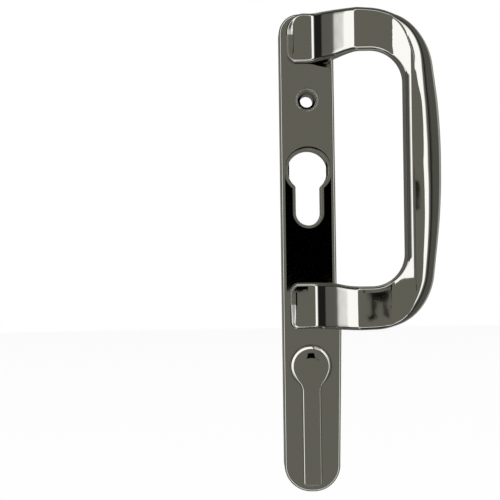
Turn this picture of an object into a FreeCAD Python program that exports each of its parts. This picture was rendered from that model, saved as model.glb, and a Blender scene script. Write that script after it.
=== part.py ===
import FreeCAD, Part
import math
import os

# Sliding patio door handle, inside hand, in millimetres.
# X points to the grip side, Z points up and the front faces -Y.
# The door face is the plane y = 0, and the origin is on the cylinder's axis there.

# Back plate
PLATE_THICKNESS = 11.0
PLATE_HALF_WIDTH = 12.3
PLATE_SPREAD = 0.2
PLATE_TOP = 70.6
PLATE_BELOW_LEVER = 3.4
TOP_CORNER_RADIUS = 9.0
BOTTOM_CORNER_RADIUS = 12.0
FLARE = 2.1
FLARE_START = 6.3
FLARE_LENGTH = 4.0
FRONT_EDGE_ROUND = 2.2
FRONT_WALL = 3.0
SIDE_WALL = 2.8

# Grip
GRIP_OUTER_X = 58.8
TOP_CORNER_X = 50.0
LOW_CORNER_X = 48.9
GRIP_FOOT_X = -9.0
GRIP_INNER_X = 39.8
GRIP_MIDDLE_Z = 2.0
WINDOW_TOP = 49.3
WINDOW_HEIGHT = 101.3
TOP_LEG_WIDTH = 22.0
TOP_LEG_TAPER = 6.3
LOW_LEG_WIDTH = 19.5
LOW_LEG_TAPER = 1.5
GRIP_SIDE_RADIUS = 250.0
GRIP_TOP_RADIUS = 32.0
GRIP_LOW_RADIUS = 26.0
GRIP_INNER_RADIUS = 14.0
TOP_FOOT_RADIUS = 8.0
LOW_FOOT_RADIUS = 3.0
INNER_FOOT_RADIUS = 2.5
GRIP_FRONT = 30.0
GRIP_DEPTH = 13.0
LEG_FRONT = 23.2
FOOT_RISE = 3.4
FOOT_BEND_X = 0.2
LEG_ANGLE = 45.0
BAR_FOOT_X = 35.3
BAR_RISE_ANGLE = 42.0
LEG_REAR_X = 7.6
LEG_REAR_ANGLE = 53.7
LEG_ROOT = 2.0
FOOT_BEND_RADIUS = 7.0
FRONT_BEND_RADIUS = 5.0
REAR_BEND_RADIUS = 4.0
BAR_FOOT_RADIUS = 5.0
BAR_RIDGE_RADIUS = 3.0
BAR_FRONT_X = 57.5
BAR_FRONT_RADIUS = 10.0
GRIP_FRONT_ROUND = 2.2
GRIP_REAR_ROUND = 2.2

# Lock cylinder cut-out
CYLINDER_RADIUS = 9.2
CYLINDER_SLOT_WIDTH = 11.4
CYLINDER_HEIGHT = 34.1
CYLINDER_NECK_ROUND = 1.5
COLLAR_WALL = 2.0

# Fixing holes
UPPER_SCREW_Z = 31.6
UPPER_HOLE_RADIUS = 2.95
UPPER_RECESS_RADIUS = 5.25
UPPER_RECESS_DEPTH = 1.5
UPPER_BOSS_RADIUS = 5.4
LOWER_SCREW_BELOW_LEVER_AXIS = 39.5
LOWER_HOLE_RADIUS = 2.25
LOWER_RECESS_RADIUS = 4.0
LOWER_RECESS_DEPTH = 2.2
LOWER_BOSS_RADIUS = 4.6

# Ribs behind the front wall
RIB_THICKNESS = 2.0
RIB_SETBACK = 2.0
RIBS_AT_WINDOW_TOP = (10.7, -2.3)
RIBS_AT_WINDOW_LOW = (12.0, -8.0)
RIB_AT_LEVER = -19.7

# Lock lever
LEVER_AXIS_BELOW_GRIP = 16.8
LEVER_HEAD_RADIUS = 9.6
LEVER_THICKNESS = 3.6
LEVER_TAIL_WIDTH = 8.6
LEVER_TAIL_REACH = 53.5
LEVER_NECK_ROUND = 4.5
LEVER_TAIL_CORNER = 1.6
LEVER_EDGE_ROUND = 1.5
LEVER_CLEARANCE = 0.3
HUB_RADIUS = 6.5
HUB_FLAT_HALF_WIDTH = 5.6
HUB_SETBACK = 0.7

# Bush, spring washer, stop disc and retaining ring, from the front to the back
RUNNING_CLEARANCE = 0.05
SEAT_CLEARANCE = 0.05
STACK_GAP = 0.05
BUSH_WALL = 1.15
BUSH_FLANGE_RADIUS = 9.0
BUSH_FLANGE_THICKNESS = 0.8
BUSH_SEAT = 5.0
BOSS_RADIUS = 9.4
SPRING_THICKNESS = 0.4
SPRING_HEIGHT = 0.9
SPRING_OUTER_RADIUS = 8.7
DISC_THICKNESS = 1.0
DISC_RADIUS = 8.7
TAB_WIDTH = 3.0
TAB_REACH = 11.2
TAB_ANGLE = 45.0
RING_THICKNESS = 1.0
RING_OUTER_RADIUS = 8.0
RING_GAP_ANGLE = 40.0
GROOVE_RADIUS = 5.75
STOP_CLEARANCE = 0.35
STOP_INNER_RADIUS = 9.3
STOP_OUTER_RADIUS = 12.0
STOP_SPAN = 18.0

# Square spindle
SPINDLE_SIDE = 7.0
SPINDLE_SOCKET_DEPTH = 8.6
SPINDLE_END_GAP = 0.3
SPINDLE_REACH = 30.0

# Levels worked out from the sizes above
PLATE_FRONT = -PLATE_THICKNESS
WALL_BACK = PLATE_FRONT + FRONT_WALL
WINDOW_LOW = WINDOW_TOP - WINDOW_HEIGHT
LEVER_Z = WINDOW_LOW - LOW_LEG_WIDTH - LEVER_AXIS_BELOW_GRIP
LOWER_SCREW_Z = LEVER_Z - LOWER_SCREW_BELOW_LEVER_AXIS
PLATE_BOTTOM = LEVER_Z - LEVER_TAIL_REACH - PLATE_BELOW_LEVER
RIB_LEVELS = (
    [WINDOW_TOP + rise for rise in RIBS_AT_WINDOW_TOP]
    + [WINDOW_LOW + rise for rise in RIBS_AT_WINDOW_LOW]
    + [LEVER_Z + RIB_AT_LEVER]
)
LEG_SLOPE = 1 / math.tan(math.radians(LEG_ANGLE))
LEG_REAR_SLOPE = 1 / math.tan(math.radians(LEG_REAR_ANGLE))
BAR_SLOPE = 1 / math.tan(math.radians(BAR_RISE_ANGLE))
BUSH_RADIUS = HUB_RADIUS + RUNNING_CLEARANCE + BUSH_WALL
BUSH_FRONT = -BUSH_SEAT + STACK_GAP
BUSH_BACK = BUSH_FRONT + BUSH_FLANGE_THICKNESS
SPRING_FRONT = BUSH_BACK + STACK_GAP
DISC_FRONT = SPRING_FRONT + SPRING_HEIGHT + STACK_GAP
DISC_BACK = DISC_FRONT + DISC_THICKNESS
RING_FRONT = DISC_BACK + STACK_GAP
RING_BACK = RING_FRONT + RING_THICKNESS

# How far a cutting tool runs past what it cuts, and how near counts as touching
PAST = 1.0
NEAR = 1e-3
SAME_POINT = 1e-6

# Most of a side that the arcs at its two ends may take
MOST_OF_SIDE = 0.98


def elevation(a, b):
    """Point of an outline drawn in front view, at the door face."""
    return FreeCAD.Vector(a, 0, b)


def plan(a, b):
    """Point of an outline drawn from above, b being the height over the plate's front."""
    return FreeCAD.Vector(a, PLATE_FRONT - b, 0)


def half_angle(points, index):
    """Half the angle between the two sides that meet at a corner."""
    here = points[index]
    return (points[index - 1] - here).getAngle(points[(index + 1) % len(points)] - here) / 2


def radii_that_fit(points, radii):
    """Corner radii, made smaller where two arcs would overlap on the side between them."""
    count = len(points)
    reaches = [radii[index] / math.tan(half_angle(points, index)) for index in range(count)]
    shares = []
    for index in range(count):
        side = points[index].distanceToPoint(points[(index + 1) % count])
        taken = reaches[index] + reaches[(index + 1) % count]
        shares.append(min(1.0, MOST_OF_SIDE * side / taken) if taken > 0 else 1.0)
    return [radii[index] * min(shares[index - 1], shares[index]) for index in range(count)]


def rounded_face(corners, place):
    """Closed face whose corners (a, b, radius) are tangent arcs."""
    count = len(corners)
    points = [place(*corner[:2]) for corner in corners]
    radii = radii_that_fit(points, [corner[2] for corner in corners])
    bends = []
    for index in range(count):
        here = points[index]
        radius = radii[index]
        to_before = (points[index - 1] - here).normalize()
        to_after = (points[(index + 1) % count] - here).normalize()
        half = to_before.getAngle(to_after) / 2
        reach = radius / math.tan(half)
        inset = radius / math.sin(half) - radius
        middle = here + (to_before + to_after).normalize() * inset
        bends.append((here + to_before * reach, middle, here + to_after * reach))
    edges = []
    for index in range(count):
        start, middle, end = bends[index]
        following = bends[(index + 1) % count][0]
        if start.distanceToPoint(end) > SAME_POINT:
            edges.append(Part.Arc(start, middle, end).toShape())
        if end.distanceToPoint(following) > SAME_POINT:
            edges.append(Part.LineSegment(end, following).toShape())
    return Part.Face(Part.Wire(edges))


def along_y(face, start, end):
    """Prism of a front-view face between two depths."""
    moved = face.copy()
    moved.translate(FreeCAD.Vector(0, start, 0))
    return moved.extrude(FreeCAD.Vector(0, end - start, 0))


def round_bar(radius, start, end, z):
    """Cylinder along Y between two depths, centred on the plate's middle line."""
    return Part.makeCylinder(
        radius, abs(end - start), FreeCAD.Vector(0, min(start, end), z), FreeCAD.Vector(0, 1, 0)
    )


def block(half_width, start, end, low, high):
    """Box centred on x = 0, between two depths and two levels."""
    corner = FreeCAD.Vector(-half_width, min(start, end), low)
    return Part.makeBox(2 * half_width, abs(end - start), high - low, corner)


def plate_face(inset):
    """Front view of the plate, drawn in by an inset."""
    side = PLATE_HALF_WIDTH - inset
    foot_side = side + PLATE_SPREAD
    flare_top = WINDOW_LOW - FLARE_START
    corners = [
        (-side, PLATE_TOP - inset, TOP_CORNER_RADIUS - inset),
        (side, PLATE_TOP - inset, TOP_CORNER_RADIUS - inset),
        (side, flare_top, 0),
        (side + FLARE, flare_top - FLARE_LENGTH, 0),
        (foot_side, PLATE_BOTTOM + inset, BOTTOM_CORNER_RADIUS - inset),
        (-foot_side, PLATE_BOTTOM + inset, BOTTOM_CORNER_RADIUS - inset),
    ]
    return rounded_face(corners, elevation)


def cylinder_prism(grow, start, end):
    """Lock cylinder profile, grown all round, between two depths."""
    radius = CYLINDER_RADIUS + grow
    half_slot = CYLINDER_SLOT_WIDTH / 2 + grow
    slot_end = CYLINDER_RADIUS + CYLINDER_SLOT_WIDTH / 2 - CYLINDER_HEIGHT
    prism = round_bar(radius, start, end, 0)
    prism = prism.fuse(block(half_slot, start, end, slot_end, 0))
    prism = prism.fuse(round_bar(half_slot, start, end, slot_end)).removeSplitter()
    neck = -math.sqrt(radius * radius - half_slot * half_slot)
    necks = [
        edge for edge in prism.Edges
        if abs(edge.CenterOfMass.z - neck) < NEAR
        and abs(abs(edge.CenterOfMass.x) - half_slot) < NEAR
    ]
    return prism.makeFillet(CYLINDER_NECK_ROUND, necks)


def plate_blank():
    """Solid plate with its rounded front edge."""
    plate = along_y(plate_face(0), 0, PLATE_FRONT)
    front = [edge for edge in plate.Edges if abs(edge.BoundBox.YMax - PLATE_FRONT) < NEAR]
    return plate.makeFillet(FRONT_EDGE_ROUND, front)


def grip_elevation():
    """Front view of the grip: an open D with its two feet on the plate."""
    foot_top = WINDOW_TOP + TOP_LEG_WIDTH
    foot_low = WINDOW_LOW - LOW_LEG_WIDTH
    corners = [
        (GRIP_FOOT_X, foot_top, TOP_FOOT_RADIUS),
        (TOP_CORNER_X, foot_top - TOP_LEG_TAPER, GRIP_TOP_RADIUS),
        (GRIP_OUTER_X, GRIP_MIDDLE_Z, GRIP_SIDE_RADIUS),
        (LOW_CORNER_X, foot_low + LOW_LEG_TAPER, GRIP_LOW_RADIUS),
        (GRIP_FOOT_X, foot_low, LOW_FOOT_RADIUS),
        (GRIP_FOOT_X, WINDOW_LOW, INNER_FOOT_RADIUS),
        (GRIP_INNER_X, WINDOW_LOW, GRIP_INNER_RADIUS),
        (GRIP_INNER_X, WINDOW_TOP, GRIP_INNER_RADIUS),
        (GRIP_FOOT_X, WINDOW_TOP, INNER_FOOT_RADIUS),
    ]
    return rounded_face(corners, elevation)


def grip_plan():
    """The strap seen from above: foot, sloping leg and the flat that carries the bar."""
    front_bend_x = FOOT_BEND_X + (LEG_FRONT - FOOT_RISE) * LEG_SLOPE
    ridge_x = BAR_FOOT_X + (GRIP_FRONT - LEG_FRONT) * BAR_SLOPE
    rear_level = GRIP_FRONT - GRIP_DEPTH
    rear_bend_x = LEG_REAR_X + rear_level * LEG_REAR_SLOPE
    root_x = LEG_REAR_X - LEG_ROOT * LEG_REAR_SLOPE
    corners = [
        (GRIP_FOOT_X, -LEG_ROOT, 0),
        (GRIP_FOOT_X, FOOT_RISE, 0),
        (FOOT_BEND_X, FOOT_RISE, FOOT_BEND_RADIUS),
        (front_bend_x, LEG_FRONT, FRONT_BEND_RADIUS),
        (BAR_FOOT_X, LEG_FRONT, BAR_FOOT_RADIUS),
        (ridge_x, GRIP_FRONT, BAR_RIDGE_RADIUS),
        (BAR_FRONT_X, GRIP_FRONT, BAR_FRONT_RADIUS),
        (BAR_FRONT_X, rear_level, 0),
        (rear_bend_x, rear_level, REAR_BEND_RADIUS),
        (root_x, -LEG_ROOT, 0),
    ]
    return rounded_face(corners, plan)


def on_rear(point):
    """Whether a point of the strap lies nearer to its rear than to its front."""
    height = PLATE_FRONT - point.y
    front_x = FOOT_BEND_X + (height - FOOT_RISE) * LEG_SLOPE
    rear_x = LEG_REAR_X + height * LEG_REAR_SLOPE
    middle = (LEG_FRONT + GRIP_FRONT - GRIP_DEPTH) / 2
    return point.x > (front_x + rear_x) / 2 and height < middle


def wall_edges(grip, outline, rear):
    """Edges where the side walls of the grip meet its front, or its rear."""
    found = []
    for edge in grip.Edges:
        box = edge.BoundBox
        point = edge.valueAt((edge.FirstParameter + edge.LastParameter) / 2)
        across = box.XLength < NEAR and box.ZLength < NEAR
        at_root = box.YMin > PLATE_FRONT + LEG_ROOT - NEAR
        shadow = Part.Vertex(point.x, 0, point.z)
        on_wall = shadow.distToShape(outline)[0] < NEAR
        is_rear = on_rear(point)
        if on_wall and not across and not at_root and is_rear == rear:
            found.append(edge)
    return found


def grip_blank():
    """The grip as its front view and its plan cut out of one block, with rounded edges."""
    front_view = along_y(grip_elevation(), PLATE_FRONT + LEG_ROOT, PLATE_FRONT - GRIP_FRONT - PAST)
    strap = grip_plan()
    height = TOP_LEG_WIDTH + WINDOW_HEIGHT + LOW_LEG_WIDTH + 2 * PAST
    strap.translate(FreeCAD.Vector(0, 0, WINDOW_LOW - LOW_LEG_WIDTH - PAST))
    grip = front_view.common(strap.extrude(FreeCAD.Vector(0, 0, height)))
    outline = grip_elevation().OuterWire
    grip = grip.makeFillet(GRIP_FRONT_ROUND, wall_edges(grip, outline, False))
    return grip.makeFillet(GRIP_REAR_ROUND, wall_edges(grip, outline, True))


def cavity():
    """The hollow behind the plate's front wall."""
    return along_y(plate_face(SIDE_WALL), 0, WALL_BACK)


def ribs_and_bosses():
    """Cross ribs, the cylinder's collar, the screw bosses, the lever's boss and its stops."""
    pieces = [cylinder_prism(COLLAR_WALL, 0, WALL_BACK)]
    for level in RIB_LEVELS:
        low = level - RIB_THICKNESS / 2
        pieces.append(block(PLATE_HALF_WIDTH, -RIB_SETBACK, WALL_BACK, low, low + RIB_THICKNESS))
    pieces.append(round_bar(UPPER_BOSS_RADIUS, 0, WALL_BACK, UPPER_SCREW_Z))
    pieces.append(round_bar(LOWER_BOSS_RADIUS, 0, WALL_BACK, LOWER_SCREW_Z))
    pieces.append(round_bar(BOSS_RADIUS, -BUSH_SEAT, WALL_BACK, LEVER_Z))
    pieces.extend(stop_blocks())
    return pieces[0].multiFuse(pieces[1:])


def sector(inner, outer, start, end, first, last):
    """Part of a ring about the lever's axis, angles counted from the top towards +X."""
    ring = round_bar(outer, start, end, LEVER_Z)
    ring = ring.cut(round_bar(inner, start - PAST, end + PAST, LEVER_Z))
    hub = FreeCAD.Vector(0, start, LEVER_Z)
    reach = 2 * outer
    spokes = []
    for angle in (first, (first + last) / 2, last):
        turn = math.radians(angle)
        spokes.append(hub + FreeCAD.Vector(math.sin(turn), 0, math.cos(turn)) * reach)
    wedge = Part.Face(Part.makePolygon([hub, spokes[0], spokes[1], spokes[2], hub]))
    return ring.common(wedge.extrude(FreeCAD.Vector(0, end - start, 0)))


def stop_blocks():
    """The two cast blocks that the disc's tab meets at the ends of the lever's turn."""
    half_tab = math.degrees(math.asin(TAB_WIDTH / 2 / STOP_INNER_RADIUS))
    clear = math.degrees(STOP_CLEARANCE / STOP_INNER_RADIUS)
    first = TAB_ANGLE + half_tab + clear
    blocks = []
    for side in (1, -1):
        angles = sorted((side * first, side * (first + STOP_SPAN)))
        blocks.append(sector(STOP_INNER_RADIUS, STOP_OUTER_RADIUS, WALL_BACK, -HUB_SETBACK, *angles))
    return blocks


def handle_casting():
    """Plate and grip, cast in one piece and hollow behind."""
    outside = plate_blank().fuse(grip_blank())
    hollow = cavity()
    casting = outside.cut(hollow).fuse(ribs_and_bosses().common(hollow))
    front = PLATE_FRONT - PAST
    tools = [
        cylinder_prism(0, PAST, front),
        round_bar(UPPER_HOLE_RADIUS, PAST, front, UPPER_SCREW_Z),
        round_bar(UPPER_RECESS_RADIUS, PLATE_FRONT + UPPER_RECESS_DEPTH, front, UPPER_SCREW_Z),
        round_bar(LOWER_HOLE_RADIUS, PAST, front, LOWER_SCREW_Z),
        round_bar(LOWER_RECESS_RADIUS, PLATE_FRONT + LOWER_RECESS_DEPTH, front, LOWER_SCREW_Z),
        round_bar(BUSH_RADIUS + SEAT_CLEARANCE, PAST, front, LEVER_Z),
    ]
    for tool in tools:
        casting = casting.cut(tool)
    return casting.removeSplitter()


def hub_profile(radius, half_flat, start, end):
    """Round bar about the lever's axis with two flats."""
    bar = round_bar(radius, start, end, LEVER_Z)
    return bar.common(block(half_flat, start, end, LEVER_Z - 2 * radius, LEVER_Z + 2 * radius))


def upright_edges(shape, level):
    """Edges along Y that stand at one level."""
    return [
        edge for edge in shape.Edges
        if edge.BoundBox.YLength > LEVER_THICKNESS / 2 and abs(edge.CenterOfMass.z - level) < NEAR
    ]


def lock_lever():
    """Keyhole-shaped lever with its hub, cast in one piece."""
    back = PLATE_FRONT - LEVER_CLEARANCE
    front = back - LEVER_THICKNESS
    half_tail = LEVER_TAIL_WIDTH / 2
    tail = block(half_tail, back, front, LEVER_Z - LEVER_TAIL_REACH, LEVER_Z)
    lever = round_bar(LEVER_HEAD_RADIUS, back, front, LEVER_Z).fuse(tail).removeSplitter()
    neck = LEVER_Z - math.sqrt(LEVER_HEAD_RADIUS ** 2 - half_tail ** 2)
    lever = lever.makeFillet(LEVER_NECK_ROUND, upright_edges(lever, neck))
    tail_end = LEVER_Z - LEVER_TAIL_REACH
    lever = lever.makeFillet(LEVER_TAIL_CORNER, upright_edges(lever, tail_end))
    rim = [edge for edge in lever.Edges if edge.BoundBox.YMax < front + NEAR]
    lever = lever.makeFillet(LEVER_EDGE_ROUND, rim)
    lever = lever.fuse(round_bar(HUB_RADIUS, back, BUSH_BACK, LEVER_Z))
    lever = lever.fuse(hub_profile(HUB_RADIUS, HUB_FLAT_HALF_WIDTH, BUSH_BACK, -HUB_SETBACK))
    groove = round_bar(HUB_RADIUS + PAST, RING_FRONT - STACK_GAP, RING_BACK + STACK_GAP, LEVER_Z)
    groove = groove.cut(round_bar(GROOVE_RADIUS, -PLATE_THICKNESS, 0, LEVER_Z))
    socket_half = SPINDLE_SIDE / 2 + RUNNING_CLEARANCE
    socket = block(
        socket_half, 0, -HUB_SETBACK - SPINDLE_SOCKET_DEPTH, LEVER_Z - socket_half, LEVER_Z + socket_half
    )
    return lever.cut(groove).cut(socket).removeSplitter()


def lever_bush():
    """Nylon bush that the lever's hub turns in, with its flange behind the boss."""
    hole = round_bar(HUB_RADIUS + RUNNING_CLEARANCE, PLATE_FRONT - PAST, 0, LEVER_Z)
    bush = round_bar(BUSH_RADIUS, PLATE_FRONT, BUSH_FRONT, LEVER_Z)
    bush = bush.fuse(round_bar(BUSH_FLANGE_RADIUS, BUSH_FRONT, BUSH_BACK, LEVER_Z))
    return bush.cut(hole).removeSplitter()


def spring_washer():
    """Coned steel washer that keeps the lever pulled against the plate."""
    inner = HUB_RADIUS + RUNNING_CLEARANCE
    rise = SPRING_HEIGHT - SPRING_THICKNESS
    section = Part.makePolygon([
        FreeCAD.Vector(inner, SPRING_FRONT + rise, LEVER_Z),
        FreeCAD.Vector(inner, SPRING_FRONT + SPRING_HEIGHT, LEVER_Z),
        FreeCAD.Vector(SPRING_OUTER_RADIUS, SPRING_FRONT + SPRING_THICKNESS, LEVER_Z),
        FreeCAD.Vector(SPRING_OUTER_RADIUS, SPRING_FRONT, LEVER_Z),
        FreeCAD.Vector(inner, SPRING_FRONT + rise, LEVER_Z),
    ])
    return Part.Face(section).revolve(FreeCAD.Vector(0, 0, LEVER_Z), FreeCAD.Vector(0, 1, 0), 360)


def stop_disc():
    """Steel disc keyed on the hub's flats, whose tab stops the lever at both ends of its turn."""
    tab = block(TAB_WIDTH / 2, DISC_FRONT, DISC_BACK, LEVER_Z, LEVER_Z + TAB_REACH)
    hub = FreeCAD.Vector(0, 0, LEVER_Z)
    tab.rotate(hub, FreeCAD.Vector(0, 1, 0), TAB_ANGLE)
    disc = round_bar(DISC_RADIUS, DISC_FRONT, DISC_BACK, LEVER_Z).fuse(tab)
    key = hub_profile(
        HUB_RADIUS + RUNNING_CLEARANCE, HUB_FLAT_HALF_WIDTH + RUNNING_CLEARANCE,
        DISC_FRONT - PAST, DISC_BACK + PAST
    )
    return disc.cut(key).removeSplitter()


def retaining_ring():
    """Open spring-steel ring in the hub's groove."""
    opening = RING_GAP_ANGLE / 2
    inner = GROOVE_RADIUS + RUNNING_CLEARANCE
    ring = round_bar(RING_OUTER_RADIUS, RING_FRONT, RING_BACK, LEVER_Z)
    ring = ring.cut(round_bar(inner, RING_FRONT - PAST, RING_BACK + PAST, LEVER_Z))
    outer = RING_OUTER_RADIUS + PAST
    start = RING_FRONT - PAST
    gap = sector(inner - PAST, outer, start, RING_BACK + PAST, -opening, opening)
    return ring.cut(gap)


def lock_spindle():
    """Square steel spindle, seated in the lever's socket and reaching into the lock."""
    half = SPINDLE_SIDE / 2
    start = -HUB_SETBACK - SPINDLE_SOCKET_DEPTH + SPINDLE_END_GAP
    return block(half, start, SPINDLE_REACH, LEVER_Z - half, LEVER_Z + half)


PIECES = {
    "handle_casting": handle_casting,
    "lock_lever": lock_lever,
    "lever_bush": lever_bush,
    "spring_washer": spring_washer,
    "stop_disc": stop_disc,
    "retaining_ring": retaining_ring,
    "lock_spindle": lock_spindle,
}

os.makedirs("parts", exist_ok=True)
for name, make in PIECES.items():
    make().exportStep("parts/" + name + ".step")
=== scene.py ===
import bpy
import numpy as np
from mathutils import Matrix, Vector
from mathutils.geometry import tessellate_polygon


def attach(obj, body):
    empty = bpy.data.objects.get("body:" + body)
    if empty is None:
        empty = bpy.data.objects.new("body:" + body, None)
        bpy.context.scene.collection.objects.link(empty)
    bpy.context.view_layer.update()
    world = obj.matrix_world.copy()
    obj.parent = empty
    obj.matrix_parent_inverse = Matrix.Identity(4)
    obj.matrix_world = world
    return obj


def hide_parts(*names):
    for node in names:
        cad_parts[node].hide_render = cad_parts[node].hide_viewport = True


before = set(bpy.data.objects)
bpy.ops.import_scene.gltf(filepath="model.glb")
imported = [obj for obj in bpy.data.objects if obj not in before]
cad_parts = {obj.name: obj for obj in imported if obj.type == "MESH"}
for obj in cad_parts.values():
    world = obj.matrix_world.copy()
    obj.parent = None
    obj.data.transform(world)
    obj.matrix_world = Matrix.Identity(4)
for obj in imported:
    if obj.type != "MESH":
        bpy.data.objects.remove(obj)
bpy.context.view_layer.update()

# Sliding patio door handle, inside hand, on the door face y = 0 with its front to -Y.
# Sizes are written in millimetres and turned to metres when a mesh is made.
MM = 0.001


# Camera, in front of the plate and to the left of the handle, as the photograph was taken
PLATE_FRONT = -11.0
CAMERA_DISTANCE = 425.0
CAMERA_X = -26.68
CAMERA_Z = -35.63
FRAME_WIDTH = 225.2
SENSOR = 36.0
LEAN = 0.0149

camera_data = bpy.data.cameras.new("photo_camera")
camera_data.sensor_width = SENSOR
camera_data.lens = SENSOR * CAMERA_DISTANCE / FRAME_WIDTH
camera_data.clip_start = 0.01
camera_data.clip_end = 20.0
camera = bpy.data.objects.new("photo_camera", camera_data)
bpy.context.scene.collection.objects.link(camera)
up = Vector((LEAN, 0, 1)).normalized()
back = Vector((0, -1, 0))
turn = Matrix((up.cross(back), up, back)).transposed().to_4x4()
camera_place = Vector((CAMERA_X, PLATE_FRONT - CAMERA_DISTANCE, CAMERA_Z)) * MM
camera.matrix_world = Matrix.Translation(camera_place) @ turn
bpy.context.scene.camera = camera


# The handle itself: plate and D grip, one hollow-backed zinc die casting, ground, polished
# and chromium plated. The front is a mirror; the hollow back is plated as it was cast.
PLATE_HALF_WIDTH = 12.3
PLATE_TOP = 70.6
PLATE_BOTTOM = -145.2
PLATE_SPREAD = 0.2
TOP_CORNER = 9.0
BOTTOM_CORNER = 12.0
FLARE = 2.1
FLARE_TOP = -58.3
FLARE_HEIGHT = 4.0
FLARE_BEND = 5.0
WALL_BACK = -8.0
SIDE_WALL = 2.8
INNER_ROUND = 0.6
INNER_FOOT = 1.2
EDGE_ROLL = 2.0
EDGE_DROP = 2.0
SMALL_ROUND = 0.3
POLISH_END = -1.0

CUTOUT_RADIUS = 9.2
CUTOUT_HALF_SLOT = 5.7
CUTOUT_SLOT_Z = -19.2
CUTOUT_NECK = 1.5
COLLAR_WALL = 2.0
CUTOUT_ROLL = 1.7
CUTOUT_DROP = 0.42
LEAST_FLAT = 0.1

UPPER_SCREW_Z = 31.6
UPPER_HOLE = 2.95
UPPER_HOLE_DEPTH = 3.0
UPPER_CONE = 4.2
UPPER_RECESS = 4.75
UPPER_RECESS_DEPTH = 1.5
RECESS_WALL_TOP = 0.65
RECESS_ROLL = 0.75
RECESS_DROP = 0.6
UPPER_BOSS = 5.4

LOWER_SCREW_Z = -127.8
LOWER_HOLE = 2.25
LOWER_RECESS = 4.0
LOWER_RECESS_DEPTH = 2.2
LOWER_BOSS = 4.6
HOLE_POLISH_END = -2.0

LEVER_Z = -88.3
BUSH_BORE = 7.75
BORE_MARGIN = 8.4
BORE_BOSS = 9.4
BORE_LEDGE = -5.0
BORE_POLISH_END = -6.0

GRIP_FRONT = 30.0
LEG_FRONT = 23.2
GRIP_REAR = 17.0


def bend(corners, closed=True, step=0.5, turn=5.0):
    """Line through corners (a, b, radius) with tangent arcs there: points and right-hand normals.
    Each arc is its centre plus radius times the unit vector turned from one tangent point to the other."""
    count = len(corners)
    points, normals = [], []
    for index in range(count):
        here = np.array(corners[index][:2], float)
        ends = not closed and index in (0, count - 1)
        if ends:
            points.append(here[None])
            normals.append(None)
            continue
        before = np.array(corners[index - 1][:2], float) - here
        after = np.array(corners[(index + 1) % count][:2], float) - here
        before, after = before / np.hypot(*before), after / np.hypot(*after)
        half = 0.5 * np.arccos(np.clip(before @ after, -1, 1))
        radius = max(corners[index][2], 1e-4)
        left = before[0] * after[1] - before[1] * after[0] < 0
        middle = here + (before + after) / np.hypot(*(before + after)) * radius / np.sin(half)
        first = here + before * radius / np.tan(half) - middle
        sweep = (np.pi - 2 * half) * (1 if left else -1)
        number = max(3, int(np.ceil(abs(np.degrees(sweep)) / turn)) + 1)
        angle = np.arctan2(first[1], first[0]) + np.linspace(0, sweep, number)
        spoke = np.stack([np.cos(angle), np.sin(angle)], 1)
        points.append(middle + radius * spoke)
        normals.append(spoke if left else -spoke)
    return fill_runs(points, normals, closed, step)


def fill_runs(points, normals, closed, step):
    """Joins arcs with straight runs cut into equal steps; a run's normal is its direction turned right."""
    count = len(points)
    all_points, all_normals = [], []
    for index in range(count):
        start = points[index][-1]
        if normals[index] is not None:
            all_points.append(points[index])
            all_normals.append(normals[index])
        if not closed and index == count - 1:
            break
        following = (index + 1) % count
        run = points[following][0] - start
        length = np.hypot(*run)
        if length < 1e-7:
            continue
        number = max(1, int(np.ceil(length / step)))
        share = np.arange(number + 1)[:, None] / number
        keep = slice(0 if normals[index] is None else 1, None if normals[following] is None else -1)
        straight = (start + share * run)[keep]
        all_points.append(straight)
        all_normals.append(np.tile([run[1] / length, -run[0] / length], (len(straight), 1)))
    return np.concatenate(all_points), np.concatenate(all_normals)


def keyhole(radius, half_slot, slot_z, neck, end_radius, z, step, turn):
    """Front view of a circle with a slot below it, the necks rounded, as points and outward normals.
    Every arc is centre + radius * (cos, sin), and straight runs join them."""
    reach = radius + neck
    side = half_slot + neck
    drop = -np.sqrt(reach ** 2 - side ** 2)
    lean = np.degrees(np.arctan2(-drop, side))
    corner = half_slot - end_radius
    arcs = [
        (0, 0, radius, -lean, 180 + lean, 1),
        (-side, drop, neck, lean, 0, -1),
        (-corner, slot_z, end_radius, 180, 270, 1),
        (corner, slot_z, end_radius, 270, 360, 1),
        (side, drop, neck, 180, 180 - lean, -1),
    ]
    points, normals = [], []
    for x, level, size, start, end, sign in arcs:
        number = max(3, int(abs(end - start) / turn) + 1)
        angle = np.radians(np.linspace(start, end, number))
        spoke = np.stack([np.cos(angle), np.sin(angle)], 1)
        points.append(np.array([x, level + z]) + size * spoke)
        normals.append(sign * spoke)
    # Where two arcs meet in one point, only one of them keeps it
    if corner < 1e-6:
        points[3], normals[3] = points[3][1:], normals[3][1:]
    for index in (0, 4):
        points[index], normals[index] = points[index][:-1], normals[index][:-1]
    return fill_runs(points, normals, True, step)


def ring_line(z, number=72):
    """Centre of a round hole once for every direction, as points and outward normals: a profile that is
    carried round it gives the radius."""
    angle = np.linspace(0, 2 * np.pi, number, endpoint=False)
    spoke = np.stack([np.cos(angle), np.sin(angle)], 1)
    return 0 * spoke + [0, z], spoke


def carried(line, profile, closed=True):
    """Surface of a profile carried round a front-view line: place = line + outward normal * out, at a depth.
    profile is (rows of (out, depth), rows of their normals); returns grid points and normals."""
    points, outward = line
    rows, leans = profile
    out, depth = rows[:, 0, None], rows[:, 1, None]
    x = points[None, :, 0] + outward[None, :, 0] * out
    z = points[None, :, 1] + outward[None, :, 1] * out
    place = np.stack([x, np.broadcast_to(depth, x.shape), z], -1)
    side = leans[:, 0, None]
    normal = np.stack([outward[None, :, 0] * side, np.broadcast_to(leans[:, 1, None], x.shape),
                       outward[None, :, 1] * side], -1)
    return grid_part(place, normal, closed)


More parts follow.
